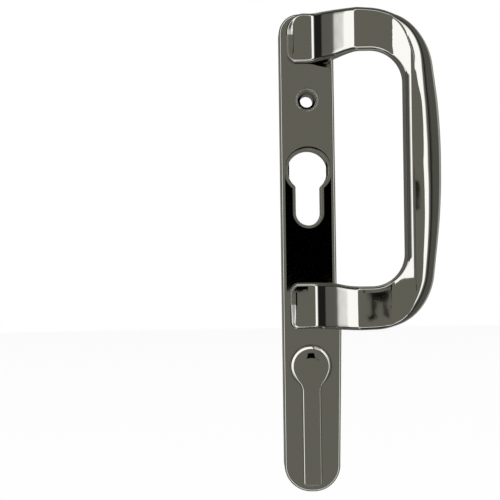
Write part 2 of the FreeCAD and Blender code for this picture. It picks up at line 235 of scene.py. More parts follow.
def grid_part(place, normal, wrap_columns, wrap_rows=False):
    """Quads between the neighbours of a grid of points, wound so that they face the way the normals do."""
    rows, columns = place.shape[:2]
    index = np.arange(rows * columns).reshape(rows, columns)
    if wrap_columns:
        index = np.concatenate([index, index[:, :1]], 1)
    if wrap_rows:
        index = np.concatenate([index, index[:1]], 0)
    quads = np.stack([index[:-1, :-1], index[:-1, 1:], index[1:, 1:], index[1:, :-1]], -1).reshape(-1, 4)
    place, normal = place.reshape(-1, 3), normal.reshape(-1, 3)
    return place, normal, face_outwards(quads, place, normal)


def face_outwards(faces, place, normal):
    """Reverses the faces whose winding disagrees with the normals of their corners."""
    corner = place[faces]
    across = np.cross(corner[:, 2] - corner[:, 0], corner[:, -1] - corner[:, 1])
    wrong = (across * normal[faces].sum(1)).sum(1) < 0
    faces = faces.copy()
    faces[wrong] = faces[wrong][:, ::-1]
    return faces


def flat_part(loops, depth, facing):
    """Flat face at one depth, bounded by front-view loops: the first is its outside, the others are holes."""
    lines = [[Vector((float(a), float(b), 0)) for a, b in loop] for loop in loops]
    faces = np.array(tessellate_polygon(lines), int)
    flat = np.concatenate(loops)
    place = np.stack([flat[:, 0], np.full(len(flat), depth), flat[:, 1]], 1)
    normal = np.tile([0.0, facing, 0.0], (len(flat), 1))
    corner = place[faces]
    across = np.cross(corner[:, 1] - corner[:, 0], corner[:, 2] - corner[:, 0])
    wrong = across[:, 1] * facing < 0
    faces[wrong] = faces[wrong][:, ::-1]
    return place, normal, faces


def moved_out(line, out):
    """A front-view line moved along its outward normals."""
    return line[0] + line[1] * out


def make_piece(name, parts, materials):
    """One mesh from parts (points in mm, normals, faces, material number): shared points are merged and
    the normals worked out with the surface are kept as the mesh's own."""
    place, normal, faces, finish = [], [], [], []
    start = 0
    for points, normals, cells, number in parts:
        place.append(points)
        normal.append(normals)
        cells = cells + start
        faces.extend(cells.tolist())
        finish.extend([number] * len(cells))
        start += len(points)
    place, normal = np.concatenate(place), np.concatenate(normal)
    keys = np.round(place * 5000).astype(np.int64)
    _, first, same = np.unique(keys, axis=0, return_index=True, return_inverse=True)
    same = same.reshape(-1)
    summed = np.zeros((len(first), 3))
    np.add.at(summed, same, normal)
    size = np.linalg.norm(summed, axis=1, keepdims=True)
    summed = np.where(size > 1e-6, summed / np.maximum(size, 1e-6), [[0, -1, 0]])
    kept, kept_finish = [], []
    for cell, number in zip(faces, finish):
        cell = [int(same[i]) for i in cell]
        cell = [c for k, c in enumerate(cell) if c != cell[k - 1]]
        if len(set(cell)) > 2:
            kept.append(cell)
            kept_finish.append(number)
    mesh = bpy.data.meshes.new(name)
    mesh.from_pydata((place[first] * MM).tolist(), [], kept)
    for material in materials:
        mesh.materials.append(material)
    mesh.polygons.foreach_set("material_index", kept_finish)
    mesh.polygons.foreach_set("use_smooth", [True] * len(kept))
    mesh.update()
    mesh.normals_split_custom_set_from_vertices(summed.tolist())
    piece = bpy.data.objects.new(name, mesh)
    bpy.context.scene.collection.objects.link(piece)
    return piece


def roll_rows(out, drop, number=12):
    """Profile of a rolled edge from the flat to a wall at 0: a quarter ellipse, out wide and drop deep."""
    angle = np.linspace(0, np.pi / 2, number)
    rows = np.stack([out * np.sin(angle) - out, PLATE_FRONT + drop - drop * np.cos(angle)], 1)
    lean = np.stack([drop * np.sin(angle), -out * np.cos(angle)], 1)
    return rows, lean / np.linalg.norm(lean, axis=1, keepdims=True)


def joined(*profiles):
    """Profiles laid end to end."""
    return np.concatenate([p[0] for p in profiles]), np.concatenate([p[1] for p in profiles])


def plain_profile(corners, step=2.0, turn=30.0):
    """Open profile through corners (out, depth, radius), with its right-hand normals as (out, depth)."""
    return bend(corners, closed=False, step=step, turn=turn)


def boss_profile(outside, hole):
    """Profile of a screw boss behind the front wall, from its outside round its end into the hole."""
    return plain_profile([(outside, WALL_BACK, 0), (outside, 0, 0.4), (hole, 0, SMALL_ROUND),
                          (hole, HOLE_POLISH_END, 0)])


def rolled_rim(line, width, drop, number=12):
    """Rolled edge round a hole, from the flat at line + normal * width to the line itself, drop below the
    flat: width * (1 - sin a) outwards and drop * (1 - cos a) down, a from 0 to 90 degrees."""
    points, outward = line
    angle = np.linspace(0, np.pi / 2, number)[:, None]
    out = width * (1 - np.sin(angle))
    x = points[:, 0] + outward[:, 0] * out
    z = points[:, 1] + outward[:, 1] * out
    down = PLATE_FRONT + drop * (1 - np.cos(angle)) + 0 * x
    lean = np.arctan2(drop * np.sin(angle), width * np.cos(angle))
    normal = np.stack([-outward[:, 0] * np.sin(lean), -np.cos(lean), -outward[:, 1] * np.sin(lean)], -1)
    return np.stack([x, down, z], -1), normal


plate_line = bend([
    (-PLATE_HALF_WIDTH, PLATE_TOP, TOP_CORNER),
    (-PLATE_HALF_WIDTH - PLATE_SPREAD, PLATE_BOTTOM, BOTTOM_CORNER),
    (PLATE_HALF_WIDTH + PLATE_SPREAD, PLATE_BOTTOM, BOTTOM_CORNER),
    (PLATE_HALF_WIDTH + FLARE, FLARE_TOP - FLARE_HEIGHT, FLARE_BEND),
    (PLATE_HALF_WIDTH, FLARE_TOP, FLARE_BEND),
    (PLATE_HALF_WIDTH, PLATE_TOP, TOP_CORNER),
], step=1.0, turn=3.0)
cutout_line = keyhole(CUTOUT_RADIUS, CUTOUT_HALF_SLOT, CUTOUT_SLOT_Z, CUTOUT_NECK, CUTOUT_HALF_SLOT, 0,
                      step=0.8, turn=4.0)
upper_ring = ring_line(UPPER_SCREW_Z)
lower_ring = ring_line(LOWER_SCREW_Z)
bore_ring = ring_line(LEVER_Z)

outer_profile = joined(roll_rows(EDGE_ROLL, EDGE_DROP, 14), plain_profile([
    (0, PLATE_FRONT + EDGE_DROP + 0.2, 0), (0, 0, SMALL_ROUND), (-SIDE_WALL, 0, SMALL_ROUND),
    (-SIDE_WALL, POLISH_END, 0)]))
inner_profile = plain_profile([
    (-SIDE_WALL, POLISH_END, 0), (-SIDE_WALL, WALL_BACK, INNER_ROUND),
    (-SIDE_WALL - INNER_FOOT, WALL_BACK, 0)])

# The cut-out's roll is narrower where it would run into the plate's own
flat_left = PLATE_HALF_WIDTH - EDGE_ROLL - LEAST_FLAT - np.abs(cutout_line[0][:, 0])
cutout_width = np.minimum(CUTOUT_ROLL, flat_left / np.maximum(np.abs(cutout_line[1][:, 0]), 0.05))
cutout_rim = rolled_rim(cutout_line, cutout_width, CUTOUT_DROP)
cutout_wall = plain_profile([
    (COLLAR_WALL, WALL_BACK, 0), (COLLAR_WALL, 0, SMALL_ROUND), (0, 0, SMALL_ROUND),
    (0, PLATE_FRONT + CUTOUT_DROP, 0)])

roll, roll_normals = roll_rows(RECESS_ROLL, RECESS_DROP)
recess_roll = (roll * [-1, 1] + [UPPER_RECESS, 0])[::-1], (roll_normals * [-1, 1])[::-1]
upper_front = joined(plain_profile([
    (UPPER_HOLE, HOLE_POLISH_END, 0), (UPPER_HOLE, PLATE_FRONT + UPPER_HOLE_DEPTH, 0.25),
    (UPPER_CONE, PLATE_FRONT + UPPER_RECESS_DEPTH, SMALL_ROUND),
    (UPPER_RECESS, PLATE_FRONT + UPPER_RECESS_DEPTH - 0.1, SMALL_ROUND),
    (UPPER_RECESS, PLATE_FRONT + RECESS_WALL_TOP, 0)], 0.6, 10.0), recess_roll)
lower_front = plain_profile([
    (LOWER_HOLE, HOLE_POLISH_END, 0), (LOWER_HOLE, PLATE_FRONT + LOWER_RECESS_DEPTH, 0.2),
    (LOWER_RECESS, PLATE_FRONT + LOWER_RECESS_DEPTH, 0.2), (LOWER_RECESS, PLATE_FRONT, SMALL_ROUND),
    (LOWER_BOSS, PLATE_FRONT, 0)], 0.6, 15.0)
bore_front = plain_profile([
    (BUSH_BORE, BORE_POLISH_END, 0), (BUSH_BORE, PLATE_FRONT, 0.2), (BORE_MARGIN, PLATE_FRONT, 0)])
bore_back = plain_profile([
    (BORE_BOSS, WALL_BACK, 0), (BORE_BOSS, BORE_LEDGE, SMALL_ROUND), (BUSH_BORE, BORE_LEDGE, 0.2),
    (BUSH_BORE, BORE_POLISH_END, 0)])

POLISHED, AS_CAST = 0, 1
casting_parts = []


def add(part, finish, parts=casting_parts):
    """Keeps a part of the casting, or of another piece, with its finish."""
    parts.append((*part, finish))


add(carried(plate_line, outer_profile), POLISHED)
add(carried(plate_line, inner_profile), AS_CAST)
add(grid_part(*cutout_rim, True), POLISHED)
add(carried(cutout_line, cutout_wall), POLISHED)
add(carried(upper_ring, upper_front), POLISHED)
add(carried(upper_ring, boss_profile(UPPER_BOSS, UPPER_HOLE)), AS_CAST)
add(carried(lower_ring, lower_front), POLISHED)
add(carried(lower_ring, boss_profile(LOWER_BOSS, LOWER_HOLE)), AS_CAST)
add(carried(bore_ring, bore_front), POLISHED)
add(carried(bore_ring, bore_back), AS_CAST)
add(flat_part([moved_out(plate_line, -EDGE_ROLL), cutout_rim[0][0][:, [0, 2]],
               moved_out(upper_ring, UPPER_RECESS + RECESS_ROLL), moved_out(lower_ring, LOWER_BOSS),
               moved_out(bore_ring, BORE_MARGIN)], PLATE_FRONT, -1), POLISHED)
add(flat_part([moved_out(plate_line, -SIDE_WALL - INNER_FOOT), moved_out(cutout_line, COLLAR_WALL),
               moved_out(upper_ring, UPPER_BOSS), moved_out(lower_ring, LOWER_BOSS),
               moved_out(bore_ring, BORE_BOSS)], WALL_BACK, 1), AS_CAST)

# Cross ribs behind the front wall, let into the walls they stand on
RIB_LEVELS = (60.0, 47.0, -40.0, -60.0, -108.0)
LET_IN = 0.6
RIB_HALF = PLATE_HALF_WIDTH - SIDE_WALL + LET_IN
RIB_HALF_THICK = 1.0
RIB_CORNER = 0.2
RIB_BACK = -2.0
RIB_FOOT = 0.25
RIB_INSET = 0.7
rib_profile = plain_profile([
    (RIB_FOOT, WALL_BACK - LET_IN, 0), (0.0, RIB_BACK, 0.5), (-RIB_INSET, RIB_BACK, 0)])
for level in RIB_LEVELS:
    high, low = level + RIB_HALF_THICK, level - RIB_HALF_THICK
    rib_line = bend([(-RIB_HALF, high, RIB_CORNER), (-RIB_HALF, low, RIB_CORNER),
                     (RIB_HALF, low, RIB_CORNER), (RIB_HALF, high, RIB_CORNER)], step=4.0, turn=30)
    add(carried(rib_line, rib_profile), AS_CAST)
    add(flat_part([moved_out(rib_line, -RIB_INSET)], RIB_BACK, 1), AS_CAST)
    add(flat_part([moved_out(rib_line, RIB_FOOT)], WALL_BACK - LET_IN, -1), AS_CAST)

# The lever's two stops, blocks that stand beside the hub's bore
STOP_RADII = (9.3, 12.0)
STOP_ANGLES = ((56.4, 74.4), (-74.4, -56.4))
STOP_BACK = -0.7
STOP_INSET = 0.4
stop_profile = plain_profile([
    (0, WALL_BACK - LET_IN, 0), (0, STOP_BACK, SMALL_ROUND), (-STOP_INSET, STOP_BACK, 0)])


def stop_line(first, last):
    """Front view of a block between two radii and two angles about the hub, from the top towards +X, as
    points and outward normals. A normal is the step from one neighbour to the other, turned right."""
    angle = np.radians(np.linspace(first, last, 7))
    spoke = np.stack([np.sin(angle), np.cos(angle)], 1)
    loop = np.concatenate([spoke * STOP_RADII[0], spoke[::-1] * STOP_RADII[1]]) + [0, LEVER_Z]
    run = np.roll(loop, -1, 0) - np.roll(loop, 1, 0)
    return loop, np.stack([run[:, 1], -run[:, 0]], 1) / np.linalg.norm(run, axis=1, keepdims=True)


for first, last in STOP_ANGLES:
    line = stop_line(first, last)
    add(carried(line, stop_profile), AS_CAST)
    add(flat_part([moved_out(line, -STOP_INSET)], STOP_BACK, 1), AS_CAST)
    add(flat_part([moved_out(line, 0)], WALL_BACK - LET_IN, -1), AS_CAST)

# The grip: a strap that stands up from the plate on two sloping legs and runs down between them as a bar.
# Its front view is given by corners (x, z, radius), its height over the plate by corners (x, height, radius).
GRIP_FOOT_X = -9.0
FOOT_MIDDLE = 60.4
GRIP_INNER_X = 39.8
WINDOW_TOP = 49.3
WINDOW_LOW = -52.0
WINDOW_CORNER = 14.0
FOOT_CORNER = 3.0
FOOT_RISE = 3.4
FOOT_SHIFT = 1.3
SUNK = -1.5
BEYOND = 70.0

outer_side = bend([
    (GRIP_FOOT_X, FOOT_MIDDLE, 0), (GRIP_FOOT_X, 71.1, 8.0), (20.0, 67.9, 60.0), (50.0, 66.0, 29.5),
    (58.7, 2.0, 250.0), (48.9, -70.0, 26.0), (GRIP_FOOT_X, -71.5, FOOT_CORNER),
    (GRIP_FOOT_X, -FOOT_MIDDLE, 0),
], closed=False, step=0.25, turn=0.6)
outer_side = (outer_side[0], -outer_side[1])
inner_side = bend([
    (GRIP_FOOT_X, FOOT_MIDDLE, 0), (GRIP_FOOT_X, WINDOW_TOP, FOOT_CORNER),
    (GRIP_INNER_X, WINDOW_TOP, WINDOW_CORNER), (GRIP_INNER_X, WINDOW_LOW, WINDOW_CORNER),
    (GRIP_FOOT_X, WINDOW_LOW, FOOT_CORNER), (GRIP_FOOT_X, -FOOT_MIDDLE, 0),
], closed=False, step=0.25, turn=1.0)
front_plan = bend([
    (GRIP_FOOT_X - 2, FOOT_RISE, 0), (-0.2, FOOT_RISE, 3.0), (1.8, 4.1, 2.0), (3.2, 5.3, 1.5),
    (6.2, 9.15, 12.0), (10.8, 14.25, 40.0), (15.6, 19.05, 40.0),
    (20.2, LEG_FRONT, 4.0), (BEYOND, LEG_FRONT, 0),
], closed=False, step=0.2, turn=1.0)[0]
rear_plan = bend([
    (GRIP_FOOT_X - 2, SUNK, 0), (6.5, SUNK, 0.3), (20.1, GRIP_REAR, 4.0), (BEYOND, GRIP_REAR, 0),
], closed=False, step=0.2, turn=4.0)[0]

# Stations along both sides are shared out between the same marks: x on the legs, level on the bar
LEG_MARKS = (-5.0, 1.0, 8.4, 17.0, 23.0, 34.9)
BAR_LEVELS = (30.0, -30.0)
STATION_COUNTS = (14, 6, 20, 20, 20, 16, 90, 60, 90, 16, 20, 20, 20, 6, 14)
BAR_FROM_X = 35.0


def length_along(side):
    """Length from the start of a side to each of its points."""
    return np.concatenate([[0], np.cumsum(np.linalg.norm(np.diff(side[0], axis=0), axis=1))])


def length_at(side, x, z_sign):
    """Length along a side where it reaches x, on its upper or its lower leg."""
    points = side[0]
    on_leg = np.flatnonzero((points[:, 1] * z_sign > 0) & (points[:, 0] < x + 1e-9))
    pick = on_leg[on_leg < len(points) / 2][-1] if z_sign > 0 else on_leg[on_leg > len(points) / 2][0]
    return length_along(side)[pick]


def length_at_level(side, z):
    """Length along a side where it passes a level on the bar."""
    points = side[0]
    on_bar = np.flatnonzero(points[:, 0] > BAR_FROM_X)
    return length_along(side)[on_bar[np.argmin(np.abs(points[on_bar, 1] - z))]]


def station_lengths(side):
    """Lengths of the stations, evenly spaced from mark to mark: upper leg, bar, back along the lower leg."""
    upper = [length_at(side, x, 1) for x in LEG_MARKS]
    bar = [length_at_level(side, z) for z in BAR_LEVELS]
    lower = [length_at(side, x, -1) for x in LEG_MARKS[::-1]]
    marks = [0.0, *upper, *bar, *lower, length_along(side)[-1]]
    runs = zip(marks[:-1], marks[1:], STATION_COUNTS)
    return np.concatenate([np.linspace(a, b, n, endpoint=False) for a, b, n in runs] + [[marks[-1]]])


def stations(side):
    """Points and normals of a side at its stations."""
    length = length_along(side)
    at = station_lengths(side)
    place = np.stack([np.interp(at, length, side[0][:, k]) for k in (0, 1)], 1)
    normal = np.stack([np.interp(at, length, side[1][:, k]) for k in (0, 1)], 1)
    return place, normal / np.linalg.norm(normal, axis=1, keepdims=True)


def smooth(value, start, end):
    """Rises from 0 at start to 1 at end without a corner."""
    share = np.clip((value - start) / (end - start), 0, 1)
    return share * share * (3 - 2 * share)


outer_at = stations(outer_side)
inner_at = stations(inner_side)

# The feet reach a little further into the window than the legs do
shift = FOOT_SHIFT * (1 - smooth(inner_at[0][:, 0], 8.0, 18.0)) * smooth(inner_at[0][:, 0], -8.8, -5.5)
inner_at = (inner_at[0] + inner_at[1] * shift[:, None], inner_at[1])


def least(first, second, blend):
    """The lower of two heights, with the ridge where they meet rounded over a height of blend."""
    share = np.clip(0.5 + 0.5 * (second - first) / blend, 0, 1)
    return second * (1 - share) + first * share - blend * share * (1 - share)


# Outer edge of the grip: its side falls away over a width, and a flatter facet lies before it. On the legs
# both widths go by x, on the bar the side's width and the height where the two meet go by the level.
LEG_EDGE = {-9.0: 0.7, -2.0: 1.1, 10.0: 1.4, 30.0: 1.7}
LEG_FACET = {-9.0: 2.4, -2.0: 0.4, 10.0: 0.4, 30.0: 0.5}
BAR_EDGE = [(56.0, 4.2, 26.4), (52.0, 5.2, 27.2), (43.5, 6.8, 27.8), (35.0, 7.3, 28.0), (29.0, 7.8, 28.8),
            (14.0, 8.2, 28.8), (0.0, 8.1, 28.4), (-17.0, 7.3, 28.5), (-37.0, 5.8, 28.6), (-46.0, 5.5, 28.9),
            (-54.0, 5.5, 29.2), (-60.0, 5.0, 29.5)]
BAR_FACET = 2.9
FACET_SLOPE = np.tan(np.radians(33.5))
FOOT_SLOPE = np.tan(np.radians(44.3))
# How steep the outer side is at a share of its width from the outline
SIDE_SHARE = np.array([0, 0.02, 0.05, 0.09, 0.14, 0.20, 0.27, 0.42, 0.58, 0.73, 0.80, 0.88, 0.94, 1.0])
SIDE_ANGLE = np.radians([82.0, 76.0, 71.0, 66.0, 61.0, 56.0, 52.5, 50.0, 48.5, 47.0, 42.5, 40.0, 38.0, 36.0])
SIDE_STEEP = np.tan((SIDE_ANGLE[1:] + SIDE_ANGLE[:-1]) / 2)
SIDE_DROP = np.concatenate([[0], np.cumsum(np.diff(SIDE_SHARE) * SIDE_STEEP)])
# Window edge: round, facet and the angle between them on the legs, and what the feet's end and the bar add
WINDOW_ROUND = (1.4, -0.7, -1.05)
WINDOW_FACET = (0.2, 2.2, 0.2)
WINDOW_START = np.radians((35.0, 9.0, 17.0))
FACET_ROWS = 5
# The bar's ground slope rises to a ridge at RIDGE_X, and a steeper cut lies on its window side
BAR_SLOPE = 43.0
LOW_CORNER_SLOPE = 39.0
RIDGE_X = 42.3
CUT_SLOPE = 52.0
CUT_X = 41.3
CUT_BELOW_FRONT = 0.93
CUT_END_RISE = 8.0
BAR_MIDDLE = -1.4
FRONT_BLEND = 0.4
OUTER_BLEND = 0.45
WINDOW_BLEND = 0.3
CUT_BLEND = 0.25


def edge_values(leg_values, bar_values):
    """Values at the stations of the outer side, from those on the legs and those at the levels of BAR_EDGE,
    joined by straight lines that are smoothed by a Hann window 8 mm long."""
    length = length_along(outer_side)
    inwards = list(leg_values)[1:]
    marks = [0.0, *[length_at(outer_side, x, 1) for x in inwards]]
    marks += [length_at_level(outer_side, level) for level, _, _ in BAR_EDGE]
    marks += [*[length_at(outer_side, x, -1) for x in inwards[::-1]], length[-1]]
    on_leg = list(leg_values.values())
    values = [*on_leg, *bar_values, *on_leg[::-1]]
    fine = np.arange(marks[0] - 8.0, marks[-1] + 8.0, 0.25)
    window = np.hanning(33)
    smoothed = np.convolve(np.interp(fine, marks, values), window / window.sum(), "valid")
    return np.interp(station_lengths(outer_side), fine[16:-16], smoothed)


def base_height(x, z):
    """Height of the strap before its edges are made: foot and leg by the plan line, and on the bar the slope
    front - (ridge - x) * tan(slope), or the cut's slope of the same form where that is lower."""
    leg = np.interp(x, front_plan[:, 0], front_plan[:, 1])
    slope_angle = LOW_CORNER_SLOPE + (BAR_SLOPE - LOW_CORNER_SLOPE) * smooth(z, -53.0, -46.0)
    slope = GRIP_FRONT - (RIDGE_X - x) * np.tan(np.radians(slope_angle))
    ends = CUT_END_RISE * smooth(np.abs(z - BAR_MIDDLE), 38.0, 50.0)
    cut = GRIP_FRONT - CUT_BELOW_FRONT - (CUT_X - x) * np.tan(np.radians(CUT_SLOPE)) + ends
    return np.maximum(leg, least(slope, cut, CUT_BLEND))


def ground_height(x, z):
    """Height of the strap's ground faces: its base, cut off by the bar's flat front."""
    return least(base_height(x, z), GRIP_FRONT, FRONT_BLEND)


def moved_in(at, inset):
    """Front-view x and z of the stations of a side, moved in by rows of insets."""
    points, outward = at
    return points[:, 0] - outward[:, 0] * inset, points[:, 1] - outward[:, 1] * inset


def outer_edge():
    """Rows of the strap's outer edge as (x, height, z), side first, then facet, and the facet's last height.
    A row's height is that where side and facet meet, less its drop."""
    outer_x, outer_z = outer_at[0].T
    side_width = edge_values(LEG_EDGE, [width for _, width, _ in BAR_EDGE])
    kept = np.maximum(smooth(outer_z, -66.0, -58.0), 1 - smooth(outer_x, -6.0, 0.0))
    facet_width = edge_values(LEG_FACET, [BAR_FACET] * len(BAR_EDGE)) * (0.25 + 0.75 * kept)
    slope = FACET_SLOPE + (FOOT_SLOPE - FACET_SLOPE) * (1 - smooth(outer_x, -8.9, -5.0))
    rows = [side_width * share for share in SIDE_SHARE]
    drops = [side_width * (SIDE_DROP[-1] - drop) for drop in SIDE_DROP]
    for share in np.linspace(0, 1, 8)[1:]:
        rows.append(side_width + share * facet_width)
        drops.append(-share * facet_width * slope)
    drops = np.array(drops)
    x, z = moved_in(outer_at, np.array(rows))

    # Side and facet meet where the base lies on the legs, at the table's height on the bar, mixed between
    nothing = dict.fromkeys(LEG_EDGE, 0.0)
    table_height = edge_values(nothing, [height for _, _, height in BAR_EDGE])
    bar_share = edge_values(nothing, [1.0] * len(BAR_EDGE))
    leg_height = base_height(x[-1], z[-1]) - facet_width * slope
    bar_height = table_height / np.maximum(bar_share, 0.001)
    meet = (1 - bar_share) * leg_height + bar_share * bar_height
    meet = np.where(bar_share > 0.999, table_height, meet)

    edge = meet - drops
    height = least(ground_height(x, z), edge, OUTER_BLEND)
    height = np.where(drops > 0, np.minimum(height, edge), height)
    return np.stack([x, height, z], -1), edge[-1]


def window_edge():
    """Rows of the strap's window edge as (x, height, z): facet, then a round that goes radius * (1 - sin a)
    inwards and radius * (cos a0 - cos a) down, a from a0 to 90 degrees."""
    on_bar = smooth(inner_at[0][:, 0], 30.0, 38.5)
    on_end = 1 - smooth(inner_at[0][:, 0], -8.9, -6.0)
    width, facet, start = [legs + end * on_end + bar * on_bar
                           for legs, end, bar in (WINDOW_ROUND, WINDOW_FACET, WINDOW_START)]
    radius = width / (1 - np.sin(start))
    rows, drops = [], []
    for share in np.linspace(1, 0, FACET_ROWS + 1)[:-1]:
        rows.append(width + share * facet)
        drops.append(-share * facet * np.tan(start - 0.02))
    for share in np.linspace(0, 1, 13):
        angle = start + (np.pi / 2 - start) * share
        rows.append(radius * (1 - np.sin(angle)))
        drops.append(radius * (np.cos(start) - np.cos(angle)))
    x, z = moved_in(inner_at, np.array(rows))
    edge = base_height(x[FACET_ROWS], z[FACET_ROWS]) - 0.05 - np.array(drops)
    return np.stack([x, least(ground_height(x, z), edge, WINDOW_BLEND), z], -1)


def strap_front():
    """Front of the strap in rows from the outer edge to the window's. The rows between them divide the way
    evenly, and the outer facet goes on rising over them until the ground faces are lower."""
    outer, facet_height = outer_edge()
    inner = window_edge()
    way = inner[0] - outer[-1]
    share = np.linspace(0, 1, 30)[1:-1, None]
    x = outer[-1][:, 0] + share * way[:, 0]
    z = outer[-1][:, 2] + share * way[:, 2]
    away = np.hypot(x - outer[-1][:, 0], z - outer[-1][:, 2])
    height = least(ground_height(x, z), facet_height + away * FACET_SLOPE, OUTER_BLEND)
    return np.concatenate([outer, np.stack([x, height, z], -1), inner])


def rear_edge(at, width):
    """Rear rolled edge of the strap: inwards by width * (1 - sin a), forwards by width * (1 - cos a), a from
    90 degrees at the wall to 0 at the rear."""
    angle = np.radians(np.linspace(90, 0, 9))[:, None]
    x, z = moved_in(at, width * (1 - np.sin(angle)))
    height = np.interp(x, rear_plan[:, 0], rear_plan[:, 1])
    return np.stack([x, height + width * (1 - np.cos(angle)), z], -1)


def grip_part():
    """Strap as a closed tube: front, window wall, rear and outer wall; normals are the cross product of the
    grid's two directions."""
    front = strap_front()
    inner_round = 0.25 + 1.95 * smooth(inner_at[0][:, 0], 14.0, 22.0)
    rear_height = np.interp(outer_at[0][:, 0], rear_plan[:, 0], rear_plan[:, 1])
    outer_round = np.clip(front[0][:, 1] - rear_height - 0.2, 0.15, inner_round)
    outer_rear = rear_edge(outer_at, outer_round)
    inner_rear = rear_edge(inner_at, inner_round)
    gap = np.linspace(0, 1, 8)[1:-1, None, None]
    inner_wall = front[-1] + gap * (inner_rear[0] - front[-1])
    outer_wall = outer_rear[0] + gap * (front[0] - outer_rear[0])
    rear = inner_rear[-1] + gap * (outer_rear[-1] - inner_rear[-1])
    rear[..., 1] = np.interp(rear[..., 0], rear_plan[:, 0], rear_plan[:, 1])
    place = np.concatenate([front, inner_wall, inner_rear, rear, outer_rear[::-1], outer_wall])
    place = np.stack([place[..., 0], PLATE_FRONT - place[..., 1], place[..., 2]], -1)
    wrapped = np.concatenate([place[-1:], place, place[:1]])
    normal = np.cross(wrapped[2:] - wrapped[:-2], np.gradient(place, axis=1))
    size = np.linalg.norm(normal, axis=-1, keepdims=True)
    normal = np.where(size > 1e-7, normal / np.maximum(size, 1e-7), [0.0, -1.0, 0.0])
    return grid_part(place, normal, False, True)


add(grip_part(), POLISHED)


# Decorative bright chromium on zinc: a cool mirror with the faint waviness that hand polishing leaves
# under it, and a thin film that dulls it in places.
def linear(code):
    """sRGB hex colour as linear light."""
    parts = np.array([int(code[i:i + 2], 16) for i in (1, 3, 5)]) / 255
    return (*np.where(parts <= 0.04045, parts / 12.92, ((parts + 0.055) / 1.055) ** 2.4), 1.0)


def node(tree, kind, links=None, **settings):
    """Adds a node, sets its inputs or properties by name and links its inputs."""
    made = tree.nodes.new(kind)
    for key, value in settings.items():
        if hasattr(made, key):
            setattr(made, key, value)
        else:
            made.inputs[key.replace("_", " ")].default_value = value
    for key, source in (links or {}).items():
        tree.links.new(source, made.inputs[key])
    return made


def new_material(name, colour=None, **values):
    """Node material with its shader's sockets set directly: returns material, tree and shader."""
    material = bpy.data.materials.new(name)
    material.use_nodes = True
    shader = material.node_tree.nodes["Principled BSDF"]
    if colour:
        shader.inputs["Base Color"].default_value = linear(colour)
    for key, value in values.items():
        shader.inputs[key.replace("_", " ")].default_value = value
    return material, material.node_tree, shader


def object_place(tree):
    """Place on the object, in metres."""
    return node(tree, "ShaderNodeTexCoord").outputs["Object"]


def noise(tree, place, size, **settings):
    """Noise whose patches are about size millimetres across."""
    return node(tree, "ShaderNodeTexNoise", {"Vector": place}, Scale=1000 / size, **settings).outputs["Fac"]


def dull_by(tree, shader, pattern, low, high, start=0.0, end=1.0):
    """Roughness that goes from low to high as a pattern goes from start to end."""
    dull = node(tree, "ShaderNodeMapRange", {"Value": pattern},
                From_Min=start, From_Max=end, To_Min=low, To_Max=high)
    tree.links.new(dull.outputs["Result"], shader.inputs["Roughness"])


def bump_by(tree, shader, pattern, strength, distance):
    """Fine relief by a pattern, distance in metres."""
    bump = node(tree, "ShaderNodeBump", {"Height": pattern}, Strength=strength, Distance=distance)
    tree.links.new(bump.outputs["Normal"], shader.inputs["Normal"])


def tint_by(tree, shader, pattern, first, second):
    """Colour that goes from one to the other as a pattern goes from 0 to 1."""
    tint = node(tree, "ShaderNodeMix", {0: pattern}, data_type="RGBA")
    tint.inputs[6].default_value = linear(first)
    tint.inputs[7].default_value = linear(second)
    tree.links.new(tint.outputs[2], shader.inputs["Base Color"])


POLISH_WAVE = 7.0
FILM_PATCH = 14.0
chrome, tree, shader = new_material("polished_chromium_plate", "#c6c5c1", Metallic=1.0)
place = object_place(tree)
dull_by(tree, shader, noise(tree, place, FILM_PATCH, Detail=6.0, Roughness=0.7), 0.025, 0.075, 0.35, 0.75)
bump_by(tree, shader, noise(tree, place, POLISH_WAVE, Detail=1.0), 0.05, 0.0004)

# The hollow back keeps the grain of the mould and the flow marks of the metal under its plating
CAST_GRAIN = 0.6
FLOW_MARK = 9.0
plated_cast, tree, shader = new_material("as_cast_plated_zinc", "#a5a5a2", Metallic=1.0)
place = object_place(tree)
dull_by(tree, shader, noise(tree, place, FLOW_MARK, Detail=3.0, Distortion=1.2), 0.3, 0.46, 0.3, 0.7)
bump_by(tree, shader, noise(tree, place, CAST_GRAIN, Detail=3.0), 0.35, 0.0002)

casting = make_piece("handle_body", casting_parts, [chrome, plated_cast])
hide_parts("handle_casting")
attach(casting, "handle")


# The lock lever: a keyhole-shaped zinc casting polished and plated like the plate it lies on. Its
# hub turns in the plate's bush, and the square spindle sits in the hub's socket.
HEAD_RADIUS = 9.6
HALF_TAIL = 4.3
TAIL_REACH = 53.5
TAIL_CORNER = 1.6
LEVER_NECK = 4.5
LEVER_BACK = -11.3
LEVER_FRONT = -14.9
BACK_ROUND = 0.2
BACK_START = LEVER_BACK - 0.25
BACK_INSET = 0.8
HUB_RADIUS = 6.5
HUB_SHOULDER = -3.0
HUB_END_RADIUS = 5.9
HUB_END = -0.7
HUB_END_INSIDE = 5.2
SOCKET_HALF = 3.55
SOCKET_CORNER = 0.1
SOCKET_FLOOR = -9.3
# How far out from the outline the front edge leans by each angle, on the head and on the tail
RIM_ANGLE = np.radians([0, 2, 6, 10, 16, 30, 41, 43, 52, 66, 80, 90])
HEAD_RIM = np.array([-7.0, -6.2, -5.0, -3.4, -2.6, -1.9, -1.5, -0.75, -0.42, -0.18, -0.05, 0.0])
TAIL_RIM = np.array([-1.1, -1.08, -1.05, -1.0, -0.9, -0.75, -0.65, -0.45, -0.28, -0.13, -0.04, 0.0])


